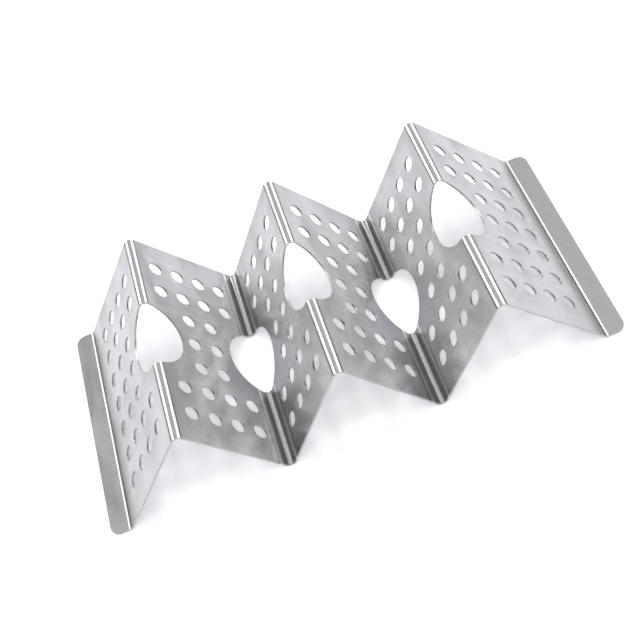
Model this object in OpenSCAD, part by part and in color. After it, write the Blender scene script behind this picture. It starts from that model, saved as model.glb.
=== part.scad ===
// Taco holder, one sheet of stainless steel that is punched flat and then folded to a zigzag.
// Each trough carries one taco between two leaning walls. Turned over, the ridges become
// troughs and it carries one taco more. A round window is cut across every ridge and trough
// before folding, so on the finished holder it reads as a heart.
// X runs along the holder, Y along the folds, Z up. The origin is on the table, under the middle.

/* [Sheet] */
// Thickness of the sheet
sheet_t = 0.8; // [0.5:0.1:1.2]
// Depth of the sheet, along the folds
sheet_d = 100; // [70:1:160]
// Inside radius of every bend
bend_r = 2; // [1:0.1:3]

/* [Folds] */
// Number of ridges
ridge_count = 3; // [2:1:5]
// Distance between neighbouring ridges
ridge_pitch = 60.5; // [50:0.5:80]
// Overall height
height = 43; // [34:1:56]
// Distance from an end ridge to the fold of its foot
end_run = 35.6; // [26:0.2:46]
// Width of the flat of each foot
foot_w = 7.1; // [6.1:0.1:14]
// Corner radius of the feet
foot_r = 4; // [1:0.5:6]

/* [Perforation] */
// Diameter of the round holes
hole_d = 6; // [3:0.1:7]
// Distance between holes along the folds
row_pitch = 12.2; // [9:0.1:20]
// Distance between holes down a wall
col_pitch = 10.6; // [9:0.1:16]
// Distance over the sheet from the middle of a ridge to the first hole
first_hole = 10; // [9:0.1:14]
// Least distance from the middle of a hole to a free edge or to the fold below it
hole_margin = 8; // [7:0.1:12]
// Diameter of the window across each fold, measured on the flat sheet
window_d = 30.2; // [16:0.2:36]
// Least metal between a hole and a window
min_web = 1.5; // [1:0.1:2]

/* [Hidden] */
$fn = 64;

// Radii of the middle and the outside of the sheet in a bend
mid_r = bend_r + sheet_t / 2;
outer_r = bend_r + sheet_t;

// Height of the centres of the ridge bends, on the table and above the centres of the low bends
ridge_centre_z = height - outer_r;
rise = height - 2 * outer_r;
half_len = (ridge_count - 1) / 2 * ridge_pitch + end_run + foot_w;

window_r = window_d / 2;
cut_depth = 4 * sheet_t;

// The two drums that cut a window stand back from its fold by this, so that they cross clear of
// the bend's outside
drum_back = sheet_t / 2;

// Holes closer than this to the middle of a window are left out
keep_clear = window_r + hole_d / 2 + min_web;
row_count = 1 + floor((sheet_d - 2 * hole_margin) / row_pitch);

// Walls are numbered from the left. Even ones rise to a ridge and odd ones fall from it.
last = 2 * ridge_count - 1;

function rises(k) = k % 2 == 0;
function is_end(k) = k == 0 || k == last;
function ridge_x(k) = (floor(k / 2) - (ridge_count - 1) / 2) * ridge_pitch;
function run(k) = is_end(k) ? end_run : ridge_pitch / 2;

// A wall is the straight line that touches the bend above it and the bend below it
function centre_gap(k) = norm([run(k), rise]);
function slope(k) = atan2(rise, run(k)) + asin(2 * mid_r / centre_gap(k));
function wall_len(k) = sqrt(pow(centre_gap(k), 2) - pow(2 * mid_r, 2));

// Length of sheet in a wall's own share of the bend at either end of it, and over the wall
// from the middle of its ridge to the middle of its trough or the start of its foot
function arc_len(k) = mid_r * slope(k) * PI / 180;
function fold_to_fold(k) = wall_len(k) + 2 * arc_len(k);

// The sheet's section

// A bend about the origin, for a sheet that comes in along +X and leaves turned by an angle
module bend(angle) {
    reach = 2 * outer_r;
    intersection() {
        difference() {
            circle(outer_r);
            circle(bend_r);
        }
        translate([0, -reach]) square([reach, 2 * reach]);
        rotate(angle)
            translate([-reach, -reach]) square([reach, 2 * reach]);
    }
}

module straight(length) {
    translate([0, -sheet_t / 2]) square([length, sheet_t]);
}

// A bend up (1) or down (-1) at the end of a straight, which carries its children round with it
module then_turn(direction, angle) {
    translate([0, direction * mid_r]) {
        bend(direction * angle);
        rotate(direction * angle)
            translate([0, -direction * mid_r])
                children();
    }
}

// Wall k and all of the sheet that follows it
module from_wall(k) {
    straight(wall_len(k));
    translate([wall_len(k), 0])
        if (k == last)
            then_turn(1, slope(k)) straight(foot_w);
        else
            then_turn(rises(k) ? -1 : 1, slope(k) + slope(k + 1)) from_wall(k + 1);
}

module section() {
    translate([-half_len, sheet_t / 2]) {
        straight(foot_w);
        translate([foot_w, 0]) then_turn(1, slope(0)) from_wall(0);
    }
}

// Cuts in the walls

// Places its children on wall k, with X down the wall and Z out of its upper face. X is measured
// over the sheet from the middle of the ridge.
module on_wall(k) {
    translate([ridge_x(k), 0, ridge_centre_z])
        rotate([0, 0, rises(k) ? 180 : 0])
            rotate([0, slope(k), 0])
                translate([-arc_len(k), 0, mid_r])
                    children();
}

function col_count(k) = 1 + floor((fold_to_fold(k) - first_hole - hole_margin) / col_pitch);
function clear_of_ridge(s, y) = norm([s, y]) > keep_clear;
function clear_of_trough(k, s, y) = is_end(k) || norm([fold_to_fold(k) - s, y]) > keep_clear;

module wall_holes(k) {
    for (c = [0 : col_count(k) - 1], r = [0 : row_count - 1]) {
        s = first_hole + c * col_pitch;
        y = (r - (row_count - 1) / 2) * row_pitch;
        if (clear_of_ridge(s, y) && clear_of_trough(k, s, y))
            translate([s, y, 0])
                cylinder(d = hole_d, h = cut_depth, center = true);
    }
}

// A window is round on the flat sheet. Folded, it is what two drums have in common that stand
// square on the walls beside the fold: on each wall its own drum cuts the narrower opening.

module drum() {
    cylinder(r = window_r, h = 4 * window_r, center = true);
}

module drum_at_ridge(k) {
    on_wall(k) translate([-drum_back, 0, 0]) drum();
}

module drum_at_trough(k) {
    on_wall(k) translate([fold_to_fold(k) + drum_back, 0, 0]) drum();
}

module windows() {
    for (k = [0 : 2 : last])
        intersection() {
            drum_at_ridge(k);
            drum_at_ridge(k + 1);
        }
    for (k = [1 : 2 : last - 1])
        intersection() {
            drum_at_trough(k);
            drum_at_trough(k + 1);
        }
}

// Takes the sharp corners off both feet
module foot_corners() {
    for (flip_x = [0, 1], flip_y = [0, 1])
        mirror([flip_x, 0, 0])
            mirror([0, flip_y, 0])
                translate([half_len - foot_r, sheet_d / 2 - foot_r, sheet_t / 2])
                    linear_extrude(cut_depth, center = true)
                        difference() {
                            square(2 * foot_r);
                            circle(foot_r);
                        }
}

module folded_sheet() {
    color("silver")
        difference() {
            rotate([90, 0, 0]) linear_extrude(sheet_d, center = true) section();
            for (k = [0 : last]) on_wall(k) wall_holes(k);
            windows();
            foot_corners();
        }
}

folded_sheet();
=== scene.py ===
# %% [markdown]
# # A folded steel taco holder
# The object is one sheet of stainless steel, punched flat and folded to a zigzag. There is only
# one piece, so nearly all of its look comes from three things: clean edges and bends, the finish
# of the metal, and what the metal has to reflect. The cells below take them in that order.

# %% Load the frame
import math

import bmesh
import bpy
from mathutils import Matrix, Vector


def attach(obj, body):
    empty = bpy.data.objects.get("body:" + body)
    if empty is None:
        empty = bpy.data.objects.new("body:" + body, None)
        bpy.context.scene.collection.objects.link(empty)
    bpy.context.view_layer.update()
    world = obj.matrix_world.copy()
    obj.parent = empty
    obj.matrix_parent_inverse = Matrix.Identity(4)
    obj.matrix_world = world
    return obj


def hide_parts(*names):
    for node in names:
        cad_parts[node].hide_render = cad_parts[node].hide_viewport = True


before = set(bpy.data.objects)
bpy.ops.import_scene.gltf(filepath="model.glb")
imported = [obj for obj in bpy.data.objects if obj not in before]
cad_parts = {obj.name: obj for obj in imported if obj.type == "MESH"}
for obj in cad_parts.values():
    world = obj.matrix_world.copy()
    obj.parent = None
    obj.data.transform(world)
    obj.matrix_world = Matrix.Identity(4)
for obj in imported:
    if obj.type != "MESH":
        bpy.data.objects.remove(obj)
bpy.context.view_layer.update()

# %% [markdown]
# ## A few small helpers
# Colours are given as sRGB hex values, but shader nodes calculate with linear light, so one
# function converts them. Another adds a node, sets its properties and sockets and joins its
# inputs, which keeps a material readable from top to bottom. The rest save repeating the few lines
# that put an object into the scene, point it somewhere, or empty a node tree.

# %% Helpers for colours, nodes and objects
MM = 0.001
WHITE = (1.0, 1.0, 1.0, 1.0)
STEEL_GREY = "#b0afb0"


def linear(hex_colour):
    channels = [int(hex_colour[i:i + 2], 16) / 255 for i in (1, 3, 5)]
    return (*(c / 12.92 if c <= 0.04045 else ((c + 0.055) / 1.055) ** 2.4 for c in channels), 1.0)


def add_node(tree, kind, settings=None, values=None, links=None):
    node = tree.nodes.new(kind)
    for name, value in (settings or {}).items():
        setattr(node, name, value)
    for socket, value in (values or {}).items():
        node.inputs[socket].default_value = value
    for socket, source in (links or {}).items():
        tree.links.new(source, node.inputs[socket])
    return node


def empty_tree(owner):
    """Switches on the nodes of a material or world, and takes out those it comes with."""
    owner.use_nodes = True
    owner.node_tree.nodes.clear()
    return owner.node_tree


def add_object(name, data):
    thing = bpy.data.objects.new(name, data)
    bpy.context.scene.collection.objects.link(thing)
    return thing


def mesh_object(name, bm):
    """Turns a finished bmesh into an object of the scene."""
    mesh = bpy.data.meshes.new(name)
    bm.to_mesh(mesh)
    bm.free()
    return add_object(name, mesh)


def stand(place, own_x, own_y, own_z):
    """The matrix that stands an object in a place with its axes in three directions."""
    turn = Matrix((own_x, own_y, own_z)).transposed().to_4x4()
    return Matrix.Translation(place) @ turn


print("the grey of the steel, in linear light:", [round(c, 3) for c in linear(STEEL_GREY)])

# %% [markdown]
# ## The camera
# The picture looks down on the holder from in front, with the camera turned a little about its own
# axis. Its place and turn were worked out from the folds and holes. A camera looks along its own
# -Z, so its right, up and backward directions are its three axes.

# %% Camera
camera_data = bpy.data.cameras.new("camera")
camera_data.sensor_width = 36
camera_data.lens = 63.745
camera = add_object("camera", camera_data)

camera_place = Vector((18.12, -279.14, 355.08)) * MM
right = Vector((0.92403, -0.26986, -0.27083))
up = Vector((0.37986, 0.72836, 0.57026))
backward = right.cross(up).normalized()
camera.matrix_world = stand(camera_place, right, up, backward)
bpy.context.scene.camera = camera
print("camera looks along", [round(-c, 3) for c in backward])

# %% [markdown]
# ## The blank's own coordinates
# The sheet was brushed flat, before it was folded, so its grain follows the flat sheet and climbs
# over every ridge. A UV map can hold those flat coordinates: U runs along the folds and V is the
# distance walked over the sheet from its left edge. That distance comes from a walk along the
# middle line of the folded section, with each bend taken in short steps.

# %% Steps of the walk over the section, in mm
sheet_t, bend_r, ridge_pitch, height = 0.8, 2.0, 60.5, 43.0
end_run, foot_w, ridge_count = 35.6, 7.1, 3
mid_r = bend_r + sheet_t / 2
rise = height - 2 * (bend_r + sheet_t)
half_length = (ridge_count - 1) / 2 * ridge_pitch + end_run + foot_w
steps_per_bend = 8


def straight(length):
    """One step: the angle it turns by, how far it goes and how much sheet it uses."""
    return [(0.0, length, length)]


def bend(angle):
    """Steps round a bend, to the left when the angle is positive."""
    part = angle / steps_per_bend
    return [(part, 2 * mid_r * math.sin(abs(part) / 2), mid_r * abs(part))] * steps_per_bend


runs = [end_run] + [ridge_pitch / 2] * (2 * ridge_count - 2) + [end_run]
slopes = [math.atan2(rise, run) + math.asin(2 * mid_r / math.hypot(run, rise)) for run in runs]
walls = [math.sqrt(run ** 2 + rise ** 2 - (2 * mid_r) ** 2) for run in runs]

steps = straight(foot_w) + bend(slopes[0])
for k, wall in enumerate(walls[:-1]):
    at_ridge = k % 2 == 0
    steps += straight(wall) + bend((slopes[k] + slopes[k + 1]) * (-1 if at_ridge else 1))
steps += straight(walls[-1]) + bend(slopes[-1]) + straight(foot_w)
print(len(walls), "walls of", [round(wall, 2) for wall in walls], "mm, in", len(steps), "steps")

# %% Walk them, and note the distance walked at each x
place, heading, travelled = Vector((-half_length, sheet_t / 2)), 0.0, 0.0
stations = [(place.x, travelled)]
for angle, chord, used in steps:
    heading += angle / 2
    place += Vector((math.cos(heading), math.sin(heading))) * chord
    heading += angle / 2
    travelled += used
    stations.append((place.x, travelled))


def distance_along_sheet(x):
    after = next((i for i in range(1, len(stations)) if x <= stations[i][0]), len(stations) - 1)
    (x0, s0), (x1, s1) = stations[after - 1], stations[after]
    return s0 + (x - x0) / (x1 - x0) * (s1 - s0)


print(f"the walk ends at x = {place.x:.2f} mm; the flat sheet is {travelled:.1f} mm long")

# %% [markdown]
# ## The sheet with its edges broken
# The CAD sheet has the right form, but its edges are perfectly sharp, and a sharp edge catches no
# light. Punching rounds the edge on one side and leaves a fine burr on the other, so every cut edge
# of the real sheet shows a thin glint. A copy of the CAD mesh is merged, its flat areas are
# dissolved to large faces, and each cut edge gets a small rounded bevel.

# %% Copy, merge and bevel the sheet
same_point = 0.002 * MM
same_plane = math.radians(0.3)
cut_corner = math.radians(50)
edge_break = 0.13 * MM

cad_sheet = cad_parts["folded_sheet"]
bm = bmesh.new()
bm.from_mesh(cad_sheet.data)
bmesh.ops.remove_doubles(bm, verts=bm.verts, dist=same_point)
bmesh.ops.dissolve_limit(bm, angle_limit=same_plane, verts=bm.verts, edges=bm.edges)
cut_edges = [e for e in bm.edges if e.is_manifold and e.calc_face_angle() > cut_corner]
print(len(bm.faces), "faces and", len(cut_edges), "cut edges before the bevel")
bmesh.ops.bevel(bm, geom=cut_edges, offset=edge_break, offset_type="OFFSET", segments=2,
                profile=0.5, affect="EDGES", material=-1, clamp_overlap=True)

# %% Lay the flat coordinates on it
FLAT_MAP = "flat_sheet"
flat_map = bm.loops.layers.uv.new(FLAT_MAP)
for face in bm.faces:
    face.smooth = True
    for loop in face.loops:
        x, y, _ = loop.vert.co / MM
        loop[flat_map].uv = (y * MM, distance_along_sheet(x) * MM)

sheet = mesh_object("brushed_sheet", bm)
weighted = sheet.modifiers.new("flat faces stay flat", "WEIGHTED_NORMAL")
weighted.weight = 100
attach(sheet, "root")
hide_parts("folded_sheet")
print(len(sheet.data.polygons), "faces after the bevel")

# %% [markdown]
# ## Brushed stainless steel: grain and clouds
# Brushed stainless steel reflects about half of the light, nearly without colour. Brushing leaves
# fine parallel grooves, which here run along the holder, across the folds. The grooves of the real
# sheet are about 0.1 mm apart; they are drawn coarser, at about 0.4 mm, so that the render can show
# them. Noise that is stretched on the flat sheet draws them without a picture file.
#
# A folded sheet is never quite flat either. Soft clouds, longer along the folds than across them,
# will dent the surface by less than a tenth of a millimetre and change its gloss a little, and
# then the reflections waver.

# %% Grain and clouds on the flat sheet
steel = bpy.data.materials.new("brushed stainless steel")
tree = empty_tree(steel)
flat_uv = add_node(tree, "ShaderNodeUVMap", {"uv_map": FLAT_MAP})


def pattern_on_sheet(along_folds, across_folds, detail, roughness):
    """Noise on the flat sheet, with spots of the given size in mm."""
    per_metre = (1 / (along_folds * MM), 1 / (across_folds * MM), 1.0)
    sized = add_node(tree, "ShaderNodeMapping", values={"Scale": per_metre},
                     links={"Vector": flat_uv.outputs["UV"]})
    return add_node(tree, "ShaderNodeTexNoise", {"noise_dimensions": "2D"},
                    {"Scale": 1.0, "Detail": detail, "Roughness": roughness},
                    {"Vector": sized.outputs["Vector"]})


grain = pattern_on_sheet(along_folds=0.4, across_folds=100 / 3, detail=3.0, roughness=0.6)
clouds = pattern_on_sheet(along_folds=100 / 3, across_folds=12.5, detail=2.0, roughness=0.5)
print("nodes for the grain and clouds:", len(tree.nodes))

# %% [markdown]
# ## Painted shade and painted highlights along the troughs
# The metal beside a trough is painted darker, which is painted shade, and three lines are painted
# brighter, which are painted highlights: one along the bottom of the trough, and a thin one about
# 4 mm away on either side. All of that depends only on the distance from the trough, which V
# already holds, so a few sums and a colour ramp are enough. The sheet is the same on both sides of
# its middle, and one trough stands for both.

# %% Painted shade and highlights beside the troughs
sheet_middle = travelled / 2
trough_from_middle = distance_along_sheet(ridge_pitch / 2) - sheet_middle
reach = 16

walked = add_node(tree, "ShaderNodeSeparateXYZ", links={"Vector": flat_uv.outputs["UV"]})
share_of_reach = walked.outputs["Y"]
for operation, number in (("SUBTRACT", sheet_middle * MM), ("ABSOLUTE", 0.0),
                          ("SUBTRACT", trough_from_middle * MM), ("ABSOLUTE", 0.0),
                          ("DIVIDE", reach * MM)):
    sum_node = add_node(tree, "ShaderNodeMath", {"operation": operation}, {1: number},
                        {0: share_of_reach})
    share_of_reach = sum_node.outputs[0]

# Painted shade and painted highlights, set by the distance from the nearest trough
trough_painted_light = add_node(tree, "ShaderNodeValToRGB", links={"Fac": share_of_reach})
ramp = trough_painted_light.color_ramp
ramp.interpolation = "EASE"
ramp.elements[0].color = WHITE
# Tones below 1 are painted shade, tones above 1 are painted highlights
for from_fold, tone in ((0.15, 1.05), (0.75, 0.7), (3.3, 0.68), (4.0, 1.5), (4.4, 1.5),
                        (5.1, 0.8), (9.6, 0.93)):
    ramp.elements.new(from_fold / reach).color = (tone, tone, tone, 1.0)
print(f"troughs {trough_from_middle:.1f} mm from the middle, tone up to {reach} mm from them")

# %% [markdown]
# ## Colour, gloss and bumps
# Grooves spread a reflection sideways, so it is drawn out along the folds: that is anisotropic
# gloss, and the tangent of the UV map tells the shader which way it goes. The grain also changes
# the colour a little from groove to groove. The clouds change the roughness, and two bumps, one on
# top of the other, make the dents and the grooves.

# %% The steel itself
most_noise = {"From Min": 0.3, "From Max": 0.7}
grain_tone = add_node(tree, "ShaderNodeMapRange",
                      values={**most_noise, "To Min": 0.87, "To Max": 1.06},
                      links={"Value": grain.outputs["Fac"]})
rough = add_node(tree, "ShaderNodeMapRange",
                 values={**most_noise, "To Min": 0.21, "To Max": 0.34},
                 links={"Value": clouds.outputs["Fac"]})
multiply = {"data_type": "RGBA", "blend_type": "MULTIPLY"}
# The steel grey is multiplied by the painted shade and painted highlights beside the troughs
base = add_node(tree, "ShaderNodeMix", multiply, {"Factor": 1.0, "A": linear(STEEL_GREY)},
                {"B": trough_painted_light.outputs["Color"]})
colour = add_node(tree, "ShaderNodeMix", multiply, {"Factor": 1.0},
                  {"A": base.outputs["Result"], "B": grain_tone.outputs["Result"]})
dents = add_node(tree, "ShaderNodeBump", values={"Strength": 1.0, "Distance": 0.08 * MM},
                 links={"Height": clouds.outputs["Fac"]})
groove = add_node(tree, "ShaderNodeBump", values={"Strength": 0.15, "Distance": 0.02 * MM},
                  links={"Height": grain.outputs["Fac"], "Normal": dents.outputs["Normal"]})
tangent = add_node(tree, "ShaderNodeTangent", {"direction_type": "UV_MAP", "uv_map": FLAT_MAP})
metal = add_node(tree, "ShaderNodeBsdfPrincipled", values={"Metallic": 1.0, "Anisotropic": 0.85},
                 links={"Base Color": colour.outputs["Result"],
                        "Roughness": rough.outputs["Result"],
                        "Normal": groove.outputs["Normal"],
                        "Tangent": tangent.outputs["Tangent"]})
add_node(tree, "ShaderNodeOutputMaterial", links={"Surface": metal.outputs["BSDF"]})
sheet.data.materials.clear()
sheet.data.materials.append(steel)
print("steel nodes:", len(tree.nodes))

# %% [markdown]
# ## The table
# The holder stands on matt white paper, which is over-exposed in the picture. More light would
# burn out the metal too. So for rays from the camera alone, which Light Path tells apart, the paper
# counts one and three quarter times, and where the metal mirrors it, it glows a little instead. Far
# from the holder it turns to plain white for the camera, so that it has no visible edge, while a
# soft shadow stays underneath the holder.

# %% Table top
table_radius, table_gap = 3.0, 0.2 * MM
floor_bm = bmesh.new()
bmesh.ops.create_circle(floor_bm, cap_ends=True, segments=64, radius=table_radius)
floor = mesh_object("table", floor_bm)
floor.location.z = -table_gap
print("table:", len(floor.data.vertices), "corners")

# %% Paper on the table
glow_in_metal = 0.5
counted_again = 0.75
white_from, white_beyond = 0.25, 0.9

paper = bpy.data.materials.new("matt white paper")
tree = empty_tree(paper)
ray = add_node(tree, "ShaderNodeLightPath")
matt = add_node(tree, "ShaderNodeBsdfDiffuse", values={"Color": linear("#eeeef0")})

mirrored = add_node(tree, "ShaderNodeMath", {"operation": "MAXIMUM"},
                    links={0: ray.outputs["Is Glossy Ray"], 1: ray.outputs["Is Transmission Ray"]})
glow_strength = add_node(tree, "ShaderNodeMath", {"operation": "MULTIPLY"}, {1: glow_in_metal},
                         {0: mirrored.outputs[0]})
glow = add_node(tree, "ShaderNodeEmission", values={"Color": linear("#f0f0fc")},
                links={"Strength": glow_strength.outputs[0]})
again = add_node(tree, "ShaderNodeMath", {"operation": "MULTIPLY"}, {1: counted_again},
                 {0: ray.outputs["Is Camera Ray"]})
glow_or_again = add_node(tree, "ShaderNodeMixShader",
                         links={0: again.outputs[0], 1: glow.outputs[0], 2: matt.outputs[0]})
near = add_node(tree, "ShaderNodeAddShader",
                links={0: matt.outputs[0], 1: glow_or_again.outputs[0]})

on_table = add_node(tree, "ShaderNodeTexCoord")
from_holder = add_node(tree, "ShaderNodeVectorMath", {"operation": "LENGTH"},
                       links={0: on_table.outputs["Object"]})
farness = add_node(tree, "ShaderNodeMapRange", {"interpolation_type": "SMOOTHSTEP"},
                   {"From Min": white_from, "From Max": white_beyond},
                   {"Value": from_holder.outputs["Value"]})
far_seen = add_node(tree, "ShaderNodeMath", {"operation": "MULTIPLY"},
                    links={0: ray.outputs["Is Camera Ray"], 1: farness.outputs["Result"]})
far = add_node(tree, "ShaderNodeEmission", values={"Strength": 1.0})
surface = add_node(tree, "ShaderNodeMixShader",
                   links={0: far_seen.outputs[0], 1: near.outputs[0], 2: far.outputs[0]})
add_node(tree, "ShaderNodeOutputMaterial", links={"Surface": surface.outputs[0]})
floor.data.materials.append(paper)
print("paper nodes:", len(tree.nodes))

# %% [markdown]
# ## Room and soft boxes
# Polished metal shows its surroundings more than itself, so the studio shapes it. The picture
# tells where the light stood. Both feet, which mirror what is overhead, are a middling grey. The
# ridges carry two bright lines each, one for either side. So a long dim scrim hangs overhead, two
# bright soft boxes stand left and right behind the holder, and the rest of the room is dim. Two
# weaker soft boxes in front serve the view from behind. The bottoms of the troughs see the light
# only after two or three mirrorings, and a tenth of it is left.

# %% Room
room_light = 0.18
world = bpy.data.worlds.new("studio")
bpy.context.scene.world = world
tree = empty_tree(world)
ray = add_node(tree, "ShaderNodeLightPath")
dim = add_node(tree, "ShaderNodeBackground", values={"Color": WHITE, "Strength": room_light})
white = add_node(tree, "ShaderNodeBackground", values={"Color": WHITE, "Strength": 1.0})
white_for_camera = add_node(tree, "ShaderNodeMixShader",
                            links={0: ray.outputs["Is Camera Ray"],
                                   1: dim.outputs[0], 2: white.outputs[0]})
add_node(tree, "ShaderNodeOutputWorld", links={"Surface": white_for_camera.outputs[0]})
print("room strength:", room_light)


# %% Soft boxes
def soft_box(name, bearing, middle_y, width, length, radiance, distance=1.5):
    """A long lamp beside the holder. Bearing is its angle over the table, from +X round to -X.

    It faces the Y axis, and its power follows from the brightness that it shows.
    """
    data = bpy.data.lights.new(name, "AREA")
    data.shape = "RECTANGLE"
    data.size, data.size_y = width, length
    data.energy = radiance * math.pi * width * length
    lamp = add_object(name, data)
    angle = math.radians(bearing)
    outward = Vector((math.cos(angle), 0, math.sin(angle)))
    along = Vector((0, 1, 0))
    lamp.matrix_world = stand(outward * distance + along * middle_y,
                              along.cross(outward), along, outward)
    return lamp


lamps = [
    soft_box("soft box left, behind", 135.5, middle_y=1.55, width=0.95, length=2.5, radiance=4.0),
    soft_box("soft box right, behind", 44, middle_y=1.55, width=0.95, length=2.5, radiance=3.8),
    soft_box("soft box left, in front", 135, middle_y=-1.6, width=1.0, length=2.5, radiance=1.4),
    soft_box("soft box right, in front", 45, middle_y=-1.6, width=1.0, length=2.5, radiance=1.4),
    soft_box("scrim overhead", 87, middle_y=0.2, width=1.28, length=7.6, radiance=0.84),
]
bpy.context.scene.view_settings.view_transform = "Standard"
print("lamps:", [lamp.name for lamp in lamps])
